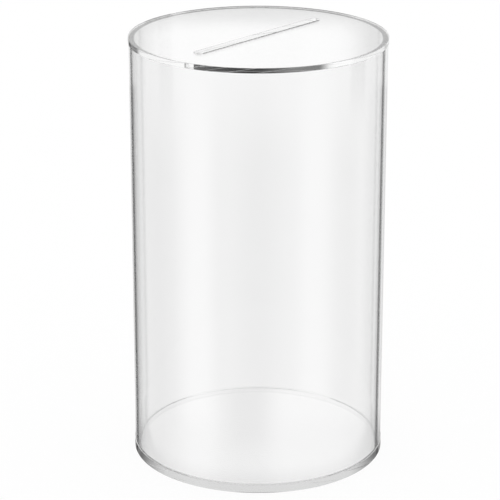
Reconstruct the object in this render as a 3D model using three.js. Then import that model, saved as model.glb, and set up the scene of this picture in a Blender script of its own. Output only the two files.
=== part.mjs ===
// Clear acrylic money box: a round tube stands on a base disc and is closed by a slotted top disc.
// Both discs are cemented to the sawn ends of the tube, so each joint has a seam of cured cement.
// Millimetres, +Z up. The box stands on z = 0, its axis is Z, and the money slot runs along Y.
import * as THREE from 'three';
import { mergeVertices } from 'three/addons/utils/BufferGeometryUtils.js';

// Tube: a stock size of cast acrylic
const TUBE_OUTER_D = 150;
const TUBE_WALL = 3;
const TUBE_LENGTH = 247;

// Discs: cut from sheet a little wider than the tube, so their edges stand proud all round
const DISC_OVERHANG = 0.4;
const BASE_THICKNESS = 5;
const TOP_THICKNESS = 3;
const EDGE_EASE = 0.25;

// Money slot: long enough for a folded note, wide enough for the thickest coins, with round ends
const SLOT_LENGTH = 110;
const SLOT_WIDTH = 6;

// Cement seam: a thin film across the tube's end, and the bead that creeps out into the bore
const SEAM_FILM = 0.2;
const SEAM_BEAD = 0.5;
const BEAD_STEPS = 4;

// Facets round the axis, shared by all pieces so that neighbouring faces lie on each other
const ROUND_STEPS = 144;
const SLOT_END_STEPS = 18;
const EASE_STEPS = 2;

// Radii and heights that follow from the sizes above
const tubeOuterR = TUBE_OUTER_D / 2;
const boreR = tubeOuterR - TUBE_WALL;
const discR = tubeOuterR + DISC_OVERHANG;
const tubeFootZ = BASE_THICKNESS + SEAM_FILM;
const tubeTopZ = tubeFootZ + TUBE_LENGTH;
const topDiscZ = tubeTopZ + SEAM_FILM;

const clearAcrylic = new THREE.MeshStandardMaterial({
  color: 0xe9f1f2,
  roughness: 0.04,
  metalness: 0,
  transparent: true,
  opacity: 0.35,
});

const curedCement = new THREE.MeshStandardMaterial({
  color: 0xdfe8ea,
  roughness: 0.12,
  metalness: 0,
  transparent: true,
  opacity: 0.5,
});

// Keeps positions only and joins the corners, so that the body is one closed skin
function closedSkin(geometry) {
  const bare = new THREE.BufferGeometry();
  bare.setAttribute('position', geometry.getAttribute('position'));
  if (geometry.index) {
    bare.setIndex(geometry.index);
  }
  const skin = mergeVertices(bare, 1e-4);
  skin.computeVertexNormals();
  return skin;
}

// Turns a closed profile of [radius, height] pairs about the Z axis
function turned(profile) {
  const points = profile.map(([radius, height]) => new THREE.Vector2(radius, height));
  points.push(points[0].clone());
  const lathe = new THREE.LatheGeometry(points, ROUND_STEPS);
  lathe.rotateX(Math.PI / 2);
  return closedSkin(lathe);
}

// A disc from an outline, thickness along Z, with every edge eased by a small round
function easedPlate(outline, thickness) {
  const plate = new THREE.ExtrudeGeometry(outline, {
    depth: thickness - 2 * EDGE_EASE,
    steps: 1,
    bevelEnabled: true,
    bevelThickness: EDGE_EASE,
    bevelSize: EDGE_EASE,
    bevelOffset: -EDGE_EASE,
    bevelSegments: EASE_STEPS,
    curveSegments: ROUND_STEPS,
  });
  plate.translate(0, 0, EDGE_EASE);
  return closedSkin(plate);
}

function roundOutline(radius) {
  const points = [];
  for (let i = 0; i < ROUND_STEPS; i += 1) {
    const angle = (2 * Math.PI * i) / ROUND_STEPS;
    points.push(new THREE.Vector2(radius * Math.cos(angle), radius * Math.sin(angle)));
  }
  return new THREE.Shape(points);
}

// A slot along Y with full round ends, as a hole for an outline
function slotHole(length, width) {
  const endR = width / 2;
  const endY = length / 2 - endR;
  const points = [];
  for (const [centreY, startAngle] of [[endY, 0], [-endY, Math.PI]]) {
    for (let i = 0; i <= SLOT_END_STEPS; i += 1) {
      const angle = startAngle + (Math.PI * i) / SLOT_END_STEPS;
      points.push(new THREE.Vector2(endR * Math.cos(angle), centreY + endR * Math.sin(angle)));
    }
  }
  return new THREE.Path(points);
}

// Seam on a disc face at height 0, with the tube's end one film above it and the bead in the corner.
// The bead is a hollow fillet, as wetting cement leaves between the disc and the bore.
function cementSeam() {
  const profile = [
    [boreR - SEAM_BEAD, 0],
    [tubeOuterR, 0],
    [tubeOuterR, SEAM_FILM],
    [boreR, SEAM_FILM],
  ];
  for (let i = 0; i < BEAD_STEPS; i += 1) {
    const angle = (-Math.PI / 2) * (i / BEAD_STEPS);
    profile.push([
      boreR - SEAM_BEAD + SEAM_BEAD * Math.cos(angle),
      SEAM_BEAD + SEAM_BEAD * Math.sin(angle),
    ]);
  }
  return turned(profile);
}

function piece(name, geometry, material, footZ) {
  geometry.translate(0, 0, footZ);
  const mesh = new THREE.Mesh(geometry, material);
  mesh.name = name;
  return mesh;
}

const moneyBox = new THREE.Group();
moneyBox.name = 'money_box';

// Base disc: the flat foot that the box stands on
const baseDisc = easedPlate(roundOutline(discR), BASE_THICKNESS);
moneyBox.add(piece('base_disc', baseDisc, clearAcrylic, 0));

// Lower seam: holds the tube to the base disc
moneyBox.add(piece('base_seam', cementSeam(), curedCement, BASE_THICKNESS));

// Tube: the plain round wall of the box, open at both sawn ends
const tube = turned([
  [boreR, 0],
  [tubeOuterR, 0],
  [tubeOuterR, TUBE_LENGTH],
  [boreR, TUBE_LENGTH],
]);
moneyBox.add(piece('tube', tube, clearAcrylic, tubeFootZ));

// Upper seam: the same joint turned over, with its bead hanging below the top disc
const upperSeam = cementSeam();
upperSeam.rotateX(Math.PI);
moneyBox.add(piece('top_seam', upperSeam, curedCement, topDiscZ));

// Top disc: closes the tube, with the one opening of the box through its middle
const topOutline = roundOutline(discR);
topOutline.holes.push(slotHole(SLOT_LENGTH, SLOT_WIDTH));
moneyBox.add(piece('top_disc', easedPlate(topOutline, TOP_THICKNESS), clearAcrylic, topDiscZ));

export default moneyBox;
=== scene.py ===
# Clear acrylic money box: a round tube stands on a base disc and is closed by a slotted top disc.
# The pieces are made in the order in which the box is put together, and then the table, camera and light.
import math

import bmesh
import bpy
from mathutils import Matrix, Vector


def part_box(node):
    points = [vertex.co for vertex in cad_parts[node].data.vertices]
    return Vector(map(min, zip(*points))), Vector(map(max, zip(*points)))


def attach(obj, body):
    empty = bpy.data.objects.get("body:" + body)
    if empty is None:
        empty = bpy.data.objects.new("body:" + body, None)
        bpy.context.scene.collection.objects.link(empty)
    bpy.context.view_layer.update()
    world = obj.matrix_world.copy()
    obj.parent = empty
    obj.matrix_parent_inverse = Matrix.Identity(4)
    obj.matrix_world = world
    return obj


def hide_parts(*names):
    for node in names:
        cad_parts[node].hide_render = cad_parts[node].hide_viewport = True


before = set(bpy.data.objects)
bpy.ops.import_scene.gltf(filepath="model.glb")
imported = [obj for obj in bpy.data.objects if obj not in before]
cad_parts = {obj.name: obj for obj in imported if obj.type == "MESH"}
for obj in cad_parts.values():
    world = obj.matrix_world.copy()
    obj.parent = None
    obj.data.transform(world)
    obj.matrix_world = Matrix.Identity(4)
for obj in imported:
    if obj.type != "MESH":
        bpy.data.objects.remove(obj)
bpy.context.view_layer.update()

# Base disc
# The flat foot of the box, a round cut from clear cast acrylic sheet a little wider than the tube.
# Its sawn edge is polished clear, and both corners are eased so that they don't catch.
# Where the tube stands on it the cement wets both, so that they become one and no face is seen there.
ROUND_STEPS = 720
EDGE_EASE = 0.0001
EASE_STEPS = 4
ROUND_PROFILE = 0.5
CORNER_TURN = math.radians(60)
SMOOTH_TURN = math.radians(8)
TUBE_WALL = 0.003
LEVEL_NORMAL = 0.999
JOINT_MARGIN = EDGE_EASE / 4
ACRYLIC_IOR = 1.49
HAZE_PATCH = 0.02
HAZE_LOSS = 0.006
HAZE_ROUGHNESS = 0.01
WAVE_HEIGHT = 0.00001
SHEET_WAVES = (12, 12, 12)
SHEET_CLEARNESS = 1.0

base_low, base_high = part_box("base_disc")
tube_low, tube_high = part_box("tube")
disc_radius = base_high[0]
tube_radius = tube_high[0]
bore_radius = tube_radius - TUBE_WALL


def outline_circle(bm, radius, steps=ROUND_STEPS):
    """A ring of edges about the Z axis; returns its vertices and edges."""
    verts = bmesh.ops.create_circle(bm, cap_ends=False, segments=steps, radius=radius)["verts"]
    return verts, list(dict.fromkeys(edge for vert in verts for edge in vert.link_edges))


def flat_disc(bm, cutout=()):
    """A disc with the band under the tube marked off on its face, open where the cutout's edges run."""
    rim, outer, inner = [outline_circle(bm, radius)[1] for radius in (disc_radius, tube_radius, bore_radius)]
    bmesh.ops.bridge_loops(bm, edges=rim + outer)
    bmesh.ops.bridge_loops(bm, edges=outer + inner)
    bmesh.ops.triangle_fill(bm, edges=inner + list(cutout), use_beauty=True, use_dissolve=False)


def thicken(bm, low, high):
    """Raises the flat shape to a plate and eases every corner."""
    raised = bmesh.ops.extrude_face_region(bm, geom=bm.faces[:])["geom"]
    upper = [part for part in raised if isinstance(part, bmesh.types.BMVert)]
    bmesh.ops.translate(bm, verts=bm.verts[:], vec=(0, 0, low))
    bmesh.ops.translate(bm, verts=upper, vec=(0, 0, high - low))
    bmesh.ops.recalc_face_normals(bm, faces=bm.faces[:])
    corners = [edge for edge in bm.edges if edge.calc_face_angle() > CORNER_TURN]
    bmesh.ops.bevel(bm, geom=corners, offset=EDGE_EASE, offset_type="OFFSET", segments=EASE_STEPS,
                    profile=ROUND_PROFILE, affect="EDGES", material=-1)


def is_bonded(face):
    """Tells the level faces inside the lower joint, where base, cement and tube have become one."""
    middle = face.calc_center_median()
    return (abs(face.normal.z) > LEVEL_NORMAL and bore_radius < middle.xy.length < tube_radius
            and base_high[2] - JOINT_MARGIN < middle.z < tube_low[2] + JOINT_MARGIN)


def clear_piece(bm, name, node, material):
    """Makes the finished shape an object, smooth round the axis and crisp at its corners."""
    bmesh.ops.recalc_face_normals(bm, faces=bm.faces[:])
    joined = [face for face in bm.faces if is_bonded(face)]
    for face in joined:
        face.material_index = 1
    mesh = bpy.data.meshes.new(name)
    mesh.materials.append(material)
    if joined:
        mesh.materials.append(bonded)
    bm.to_mesh(mesh)
    bm.free()
    mesh.shade_smooth()
    mesh.set_sharp_from_angle(angle=SMOOTH_TURN)
    piece = bpy.data.objects.new(name, mesh)
    bpy.context.scene.collection.objects.link(piece)
    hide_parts(node)
    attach(piece, "root")


def new_material(name):
    """Returns a new material and its shader."""
    material = bpy.data.materials.new(name)
    material.use_nodes = True
    return material, material.node_tree.nodes["Principled BSDF"]


def vary(material, value, patch, low, high):
    """Lets one of the shader's values drift between two bounds over patches of this size."""
    nodes, links = material.node_tree.nodes, material.node_tree.links
    place = nodes.new("ShaderNodeTexCoord")
    patches = nodes.new("ShaderNodeTexNoise")
    patches.inputs["Scale"].default_value = 1 / patch
    bounds = nodes.new("ShaderNodeMapRange")
    bounds.inputs["To Min"].default_value = low
    bounds.inputs["To Max"].default_value = high
    links.new(place.outputs["Object"], patches.inputs["Vector"])
    links.new(patches.outputs["Fac"], bounds.inputs["Value"])
    links.new(bounds.outputs["Result"], nodes["Principled BSDF"].inputs[value])


def clear_acrylic(name, clearness, waves_per_metre):
    """Polished clear acrylic with a trace of handling haze, uneven by a hair along the way it was made."""
    material, shader = new_material(name)
    shader.distribution = "GGX"
    shader.inputs["Transmission Weight"].default_value = 1
    shader.inputs["IOR"].default_value = ACRYLIC_IOR
    vary(material, "Base Color", HAZE_PATCH, clearness - HAZE_LOSS, clearness)
    vary(material, "Roughness", HAZE_PATCH, 0, HAZE_ROUGHNESS)
    nodes, links = material.node_tree.nodes, material.node_tree.links
    place = nodes.new("ShaderNodeTexCoord")
    stretch = nodes.new("ShaderNodeMapping")
    stretch.inputs["Scale"].default_value = waves_per_metre
    waves = nodes.new("ShaderNodeTexNoise")
    waves.inputs["Scale"].default_value = 1
    waves.inputs["Detail"].default_value = 1
    bump = nodes.new("ShaderNodeBump")
    bump.inputs["Strength"].default_value = 1
    bump.inputs["Distance"].default_value = WAVE_HEIGHT
    links.new(place.outputs["Object"], stretch.inputs["Vector"])
    links.new(stretch.outputs["Vector"], waves.inputs["Vector"])
    links.new(waves.outputs["Fac"], bump.inputs["Height"])
    links.new(bump.outputs["Normal"], shader.inputs["Normal"])
    return material


bonded, bonded_shader = new_material("bonded")
bonded_shader.inputs["Alpha"].default_value = 0
sheet_acrylic = clear_acrylic("sheet_acrylic", SHEET_CLEARNESS, SHEET_WAVES)

bm = bmesh.new()
flat_disc(bm)
thicken(bm, base_low[2], base_high[2])
clear_piece(bm, "base_disc_clear", "base_disc", sheet_acrylic)

# Lower seam
# Cured acrylic cement, run in round the tube's foot: a film under the sawn end, with a hollow bead inside.
# It dries clear, so that little more than the bead is seen.
# It is drawn a hair clear of the pieces that it joins.
SEAM_CLEAR = 0.00002
SEAM_BEAD = 0.0005
BEAD_STEPS = 10
SAME_PLACE = 1e-7
CEMENT_COVER = 0.03
CEMENT_PATCH = 0.003
CEMENT_TONES = (0.84, 0.94)
CEMENT_ROUGHNESS = (0.15, 0.3)


def turn_full(bm):
    """Turns the profile drawn so far once round the Z axis."""
    bmesh.ops.spin(bm, geom=bm.verts[:] + bm.edges[:], cent=(0, 0, 0), axis=(0, 0, 1),
                   angle=2 * math.pi, steps=ROUND_STEPS, use_merge=True)
    bmesh.ops.remove_doubles(bm, verts=bm.verts[:], dist=SAME_PLACE)


def join_up(bm, corners):
    """Draws straight edges from corner to corner."""
    for start, end in zip(corners, corners[1:]):
        bm.edges.new((start, end))


def cement_seam(disc_face, tube_end):
    """The seam between a disc's face and the tube's end, which may lie above the disc or below it."""
    up = 1 if tube_end > disc_face else -1
    foot = disc_face + up * SEAM_CLEAR
    film = tube_end - up * SEAM_CLEAR
    bore = bore_radius - SEAM_CLEAR
    outside = tube_radius - SEAM_CLEAR
    bm = bmesh.new()
    toe = bm.verts.new((bore - SEAM_BEAD, 0, foot))
    arc = bmesh.ops.spin(bm, geom=[toe], cent=(bore - SEAM_BEAD, 0, foot + up * SEAM_BEAD), axis=(0, -up, 0),
                         angle=math.pi / 2, steps=BEAD_STEPS)["geom_last"]
    tip = next(part for part in arc if isinstance(part, bmesh.types.BMVert))
    join_up(bm, [tip, bm.verts.new((bore, 0, film)), bm.verts.new((outside, 0, film)),
                 bm.verts.new((outside, 0, foot)), toe])
    turn_full(bm)
    return bm


cured_cement, cement_shader = new_material("cured_cement")
cement_shader.inputs["IOR"].default_value = ACRYLIC_IOR
cement_shader.inputs["Alpha"].default_value = CEMENT_COVER
vary(cured_cement, "Base Color", CEMENT_PATCH, *CEMENT_TONES)
vary(cured_cement, "Roughness", CEMENT_PATCH, *CEMENT_ROUGHNESS)

clear_piece(cement_seam(base_high[2], tube_low[2]), "lower_seam", "base_seam", cured_cement)

# Tube
# The wall of the box, a length of clear acrylic tube sawn square at both ends and stood in the wet cement.
# Extruding leaves faint straight streaks along it, which only show where light grazes the wall.
TUBE_WAVES = (30, 30, 1)
TUBE_CLEARNESS = 0.988

tube_acrylic = clear_acrylic("tube_acrylic", TUBE_CLEARNESS, TUBE_WAVES)

bm = bmesh.new()
wall = [bm.verts.new((radius, 0, height)) for radius, height in
        [(bore_radius, tube_low[2]), (tube_radius, tube_low[2]),
         (tube_radius, tube_high[2]), (bore_radius, tube_high[2])]]
join_up(bm, wall + wall[:1])
turn_full(bm)
clear_piece(bm, "tube_clear", "tube", tube_acrylic)

# Upper seam
# The same cement joint turned over: a film on the tube's upper end and a bead that hangs under the top disc.
# It keeps both its faces, and light that they throw back stays in the disc and shows at its edge.
top_low, top_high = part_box("top_disc")
clear_piece(cement_seam(top_low[2], tube_high[2]), "upper_seam", "top_seam", cured_cement)

# Top disc
# Cut from thinner sheet of the same width, with one long round-ended slot in its middle for coins and notes.
# The slot is routed before the disc is cemented on, and its corners are eased like those of the rim.
SLOT_LENGTH = 0.110
SLOT_WIDTH = 0.006
SLOT_END_STEPS = 64


def outline_slot(bm, length, width):
    """A ring drawn apart along Y, so that each half rounds one end of the slot; returns its edges."""
    ring, edges = outline_circle(bm, width / 2, SLOT_END_STEPS)
    half_step = Matrix.Rotation(math.pi / SLOT_END_STEPS, 3, "Z")
    bmesh.ops.rotate(bm, verts=ring, cent=(0, 0, 0), matrix=half_step)
    for side in (1, -1):
        end = [vert for vert in ring if vert.co.y * side > 0]
        bmesh.ops.translate(bm, verts=end, vec=(0, side * (length - width) / 2, 0))
    return edges


bm = bmesh.new()
flat_disc(bm, outline_slot(bm, SLOT_LENGTH, SLOT_WIDTH))
thicken(bm, top_low[2], top_high[2])
clear_piece(bm, "top_disc_clear", "top_disc", sheet_acrylic)

# Table
# A plain white surface without an edge in view. It is nearly as bright as paper on a light box,
# and keeps a faint share of true shading for the shadow round the foot.
TABLE_SIZE = 20
TABLE_DROP = 0.0001
TABLE_GLOW = 0.94
TABLE_ROUGHNESS = 0.9

bm = bmesh.new()
bmesh.ops.create_grid(bm, x_segments=1, y_segments=1, size=TABLE_SIZE)
bmesh.ops.translate(bm, verts=bm.verts[:], vec=(0, 0, base_low[2] - TABLE_DROP))
table_mesh = bpy.data.meshes.new("table")
bm.to_mesh(table_mesh)
bm.free()
table = bpy.data.objects.new("table", table_mesh)
bpy.context.scene.collection.objects.link(table)
table.visible_transmission = False
table.visible_glossy = False

white_table, paper = new_material("white_table")
table_mesh.materials.append(white_table)
paper.inputs["Base Color"].default_value = (1, 1, 1, 1)
paper.inputs["Roughness"].default_value = TABLE_ROUGHNESS
paper.inputs["Specular IOR Level"].default_value = 0
table_tree = white_table.node_tree
glow = table_tree.nodes.new("ShaderNodeEmission")
both = table_tree.nodes.new("ShaderNodeMixShader")
both.inputs["Fac"].default_value = TABLE_GLOW
table_tree.links.new(paper.outputs["BSDF"], both.inputs[1])
table_tree.links.new(glow.outputs["Emission"], both.inputs[2])
table_tree.links.new(both.outputs["Shader"], table_tree.nodes["Material Output"].inputs["Surface"])

# Camera
# A long lens a little above the box, turned so that the slot runs from lower left to upper right.
# Its place is given before the turn, with the box straight ahead along Y.
CAMERA_TURN = math.radians(220.05)
CAMERA_TILT = math.radians(19.3036)
CAMERA_PLACE = (-0.00486, -1.24808, 0.56108)
CAMERA_LENS = 159.40
CAMERA_FILM = 36

camera_data = bpy.data.cameras.new("camera")
camera_data.lens = CAMERA_LENS
camera_data.sensor_width = CAMERA_FILM
camera = bpy.data.objects.new("camera", camera_data)
bpy.context.scene.collection.objects.link(camera)
camera.matrix_world = (Matrix.Rotation(CAMERA_TURN, 4, "Z") @ Matrix.Translation(CAMERA_PLACE)
                       @ Matrix.Rotation(math.pi / 2 - CAMERA_TILT, 4, "X"))
bpy.context.scene.camera = camera

# Studio
# The box stands in a ring of soft lamps and pale walls, with black cards that draw its clear edges.
# Each has its two sides, in degrees round the box from straight behind it, and its level; white is 1.
# Near lid height the side walls are paler and a dark flat stands at the right. A dim skirting runs below.
RING = (
    (-180, -145, 0.1),  # dark room behind the camera
    (-130, -115, 0.9),  # lamp at the left front
    (-95, -80, 0.1),  # black flat at the left
    (-60, -28, 0.6),  # left wall
    (-25, -20, 0.0),  # narrow black card
    (-15, -12, 0.9),  # lamp behind at the left
    (-2, 2, 0.3),  # gap between the lamps
    (10, 25, 0.8),  # lamp behind at the right
    (27, 31, 0.05),  # narrow black card
    (36, 150, 0.7),  # right wall
    (175, 180, 0.1),  # dark room behind the camera
)
FULL_TURN = 360
PALE_HEIGHT = (-17.5, -14.5)
PALE_SIDES = (45, 65)
PALE_SHARE = 0.6
PALE_LEVEL = 0.8
SKIRTING_HEIGHT = (-23.2, -24.2)
SKIRTING_LEVEL = 0.6
FLAT_MIDDLE = 80
FLAT_SIDES = (12, 8)
FLAT_HEIGHT = (-16.5, -14.2)
FLAT_LEVEL = 0.05

world = bpy.data.worlds.new("studio")
world.use_nodes = True
bpy.context.scene.world = world
studio = world.node_tree


def worked_out(operation, *values):
    """A sum on the studio's nodes; returns its result."""
    node = studio.nodes.new("ShaderNodeMath")
    node.operation = operation
    for socket, value in zip(node.inputs, values):
        if isinstance(value, (int, float)):
            socket.default_value = value
        else:
            studio.links.new(value, socket)
    return node.outputs["Value"]


def eased(value, span, low=0.0, high=1.0):
    """Goes smoothly from low to high as value goes from the span's start to its end."""
    node = studio.nodes.new("ShaderNodeMapRange")
    node.interpolation_type = "SMOOTHSTEP"
    studio.links.new(value, node.inputs["Value"])
    for name, number in zip(("From Min", "From Max", "To Min", "To Max"), (*span, low, high)):
        node.inputs[name].default_value = number
    return node.outputs["Result"]


def blended(share, first, second):
    """Mixes two levels by a share from 0 to 1."""
    return worked_out("ADD", worked_out("MULTIPLY", first, worked_out("SUBTRACT", 1, share)),
                      worked_out("MULTIPLY", second, share))


def all_round(things):
    """The level in each direction round the box, passing evenly from one thing to the next."""
    node = studio.nodes.new("ShaderNodeValToRGB")
    studio.links.new(worked_out("MULTIPLY_ADD", azimuth, 1 / FULL_TURN, 1 / 2), node.inputs["Fac"])
    stops = [(side, level) for left, right, level in things for side in (left, right)]
    marks = node.color_ramp.elements
    marks[0].position, marks[1].position = 0, 1
    for side, level in stops[1:-1]:
        marks.new(side / FULL_TURN + 1 / 2)
    for mark, (side, level) in zip(marks, stops):
        mark.color = (level, level, level, 1)
    return node.outputs["Color"]


def aside_from(middle):
    """How many degrees a direction lies to the side of this one."""
    return worked_out("ABSOLUTE", worked_out("SUBTRACT", azimuth, middle))


direction = studio.nodes.new("ShaderNodeTexCoord")
facing = studio.nodes.new("ShaderNodeVectorRotate")
facing.rotation_type = "Z_AXIS"
facing.inputs["Angle"].default_value = -CAMERA_TURN
studio.links.new(direction.outputs["Generated"], facing.inputs["Vector"])
along = studio.nodes.new("ShaderNodeSeparateXYZ")
studio.links.new(facing.outputs["Vector"], along.inputs["Vector"])
azimuth = worked_out("DEGREES", worked_out("ARCTAN2", along.outputs["X"], along.outputs["Y"]))
elevation = worked_out("DEGREES", worked_out("ARCSINE", along.outputs["Z"]))

pale = worked_out("MULTIPLY", eased(elevation, PALE_HEIGHT, 0, PALE_SHARE), eased(aside_from(0), PALE_SIDES))
skirting = eased(elevation, SKIRTING_HEIGHT, 1, SKIRTING_LEVEL)
room = worked_out("MULTIPLY", blended(pale, all_round(RING), PALE_LEVEL), skirting)
flat = worked_out("MULTIPLY", eased(aside_from(FLAT_MIDDLE), FLAT_SIDES), eased(elevation, FLAT_HEIGHT))

# Ceiling
# Light that the lid or the floor throws upwards meets the ceiling, where a soft lamp is mirrored in the lid
# and two lamps with a gap between them are mirrored in the floor.
# The two end in a curve along the floor's rim, which is left dim.
CEILING_HEIGHT = (4, 11)
CEILING_SIDES = (4, 6)
LID_LAMP_MIDDLE = 0.1
LID_LAMP_SIDES = (3.4, 2.1)
LID_LAMP_HEIGHT = (13.0, 13.85)
LID_LAMP_SURROUND = 0.6
FLOOR_LAMP_HEIGHT = (14.8, 16.0)
FLOOR_LAMP_END = (24.8, 25.5)
FLOOR_LAMP_BEND = 0.014
FLOOR_LAMP_SURROUND = 0.35
LAMP_GAP_MIDDLE = -0.25
LAMP_GAP_SIDES = (0.2, 1.5)
LAMP_GAP_HEIGHT = (24.0, 24.7)
LAMP_GAP_LEVELS = (0.62, 0.8)

lid_lamp = worked_out("MULTIPLY", eased(elevation, LID_LAMP_HEIGHT),
                      eased(aside_from(LID_LAMP_MIDDLE), LID_LAMP_SIDES))
lit_from_side = worked_out("MAXIMUM", lid_lamp, eased(aside_from(0), CEILING_SIDES))
over_lid = eased(lit_from_side, (0, 1), LID_LAMP_SURROUND, 1)
lamp_gap = eased(elevation, LAMP_GAP_HEIGHT, *LAMP_GAP_LEVELS)
lamps = blended(eased(aside_from(LAMP_GAP_MIDDLE), LAMP_GAP_SIDES), lamp_gap, 1)
bend = worked_out("MULTIPLY", FLOOR_LAMP_BEND, worked_out("POWER", aside_from(0), 2))
over_floor = worked_out("MULTIPLY", lamps, eased(worked_out("ADD", elevation, bend), FLOOR_LAMP_END,
                                                 1, FLOOR_LAMP_SURROUND))
ceiling = blended(eased(elevation, FLOOR_LAMP_HEIGHT), over_lid, over_floor)

# Light in the discs
# Light that is turned to and fro inside a disc leaves by its edge, so the edges of lid and foot show what
# stands round the box at their own height. What is mirrored steeply, as from above, is one even grey.
LID_RING = (
    (-180, -100, 0.25),  # dim front
    (-80, 54, 1.0),  # backdrop
    (59, 61, 0.1),  # near side of the black flat
    (69, 79, 0.03),  # black flat
    (86, 93, 0.2),  # far side of the black flat
    (96, 104, 1.0),  # strip lamp
    (115, 180, 0.25),  # dim front
)
LID_HEIGHT = (15.2, 14.85)
FOOT_RING = (
    (-180, -66, 0.1),  # dark front
    (-38, 38, 0.74),  # backdrop
    (66, 180, 0.1),  # dark front
)
FOOT_HEIGHT = (22.8, 24.2)
STEEP_HEIGHT = (26.5, 31.0)
STEEP_LEVEL = 0.55
MOST_TURNS = 160

steepness = worked_out("ABSOLUTE", elevation)
path = studio.nodes.new("ShaderNodeLightPath")
turned = worked_out("GREATER_THAN", path.outputs["Glossy Depth"], 1 / 2)
turned_again = worked_out("GREATER_THAN", path.outputs["Glossy Depth"], 3 / 2)
mirrored_once = blended(eased(elevation, CEILING_HEIGHT), blended(flat, room, FLAT_LEVEL), ceiling)
below_lid = blended(eased(steepness, FOOT_HEIGHT), room, all_round(FOOT_RING))
mirrored_often = blended(eased(steepness, LID_HEIGHT), below_lid, all_round(LID_RING))
mirrored = blended(turned_again, mirrored_once, mirrored_often)
mirrored = blended(eased(steepness, STEEP_HEIGHT), mirrored, STEEP_LEVEL)
studio.links.new(blended(turned, 1, mirrored), studio.nodes["Background"].inputs["Color"])

bpy.context.scene.view_settings.view_transform = "Standard"
cycles = bpy.context.scene.cycles
cycles.max_bounces = MOST_TURNS
cycles.glossy_bounces = MOST_TURNS
cycles.transmission_bounces = MOST_TURNS
cycles.transparent_max_bounces = MOST_TURNS
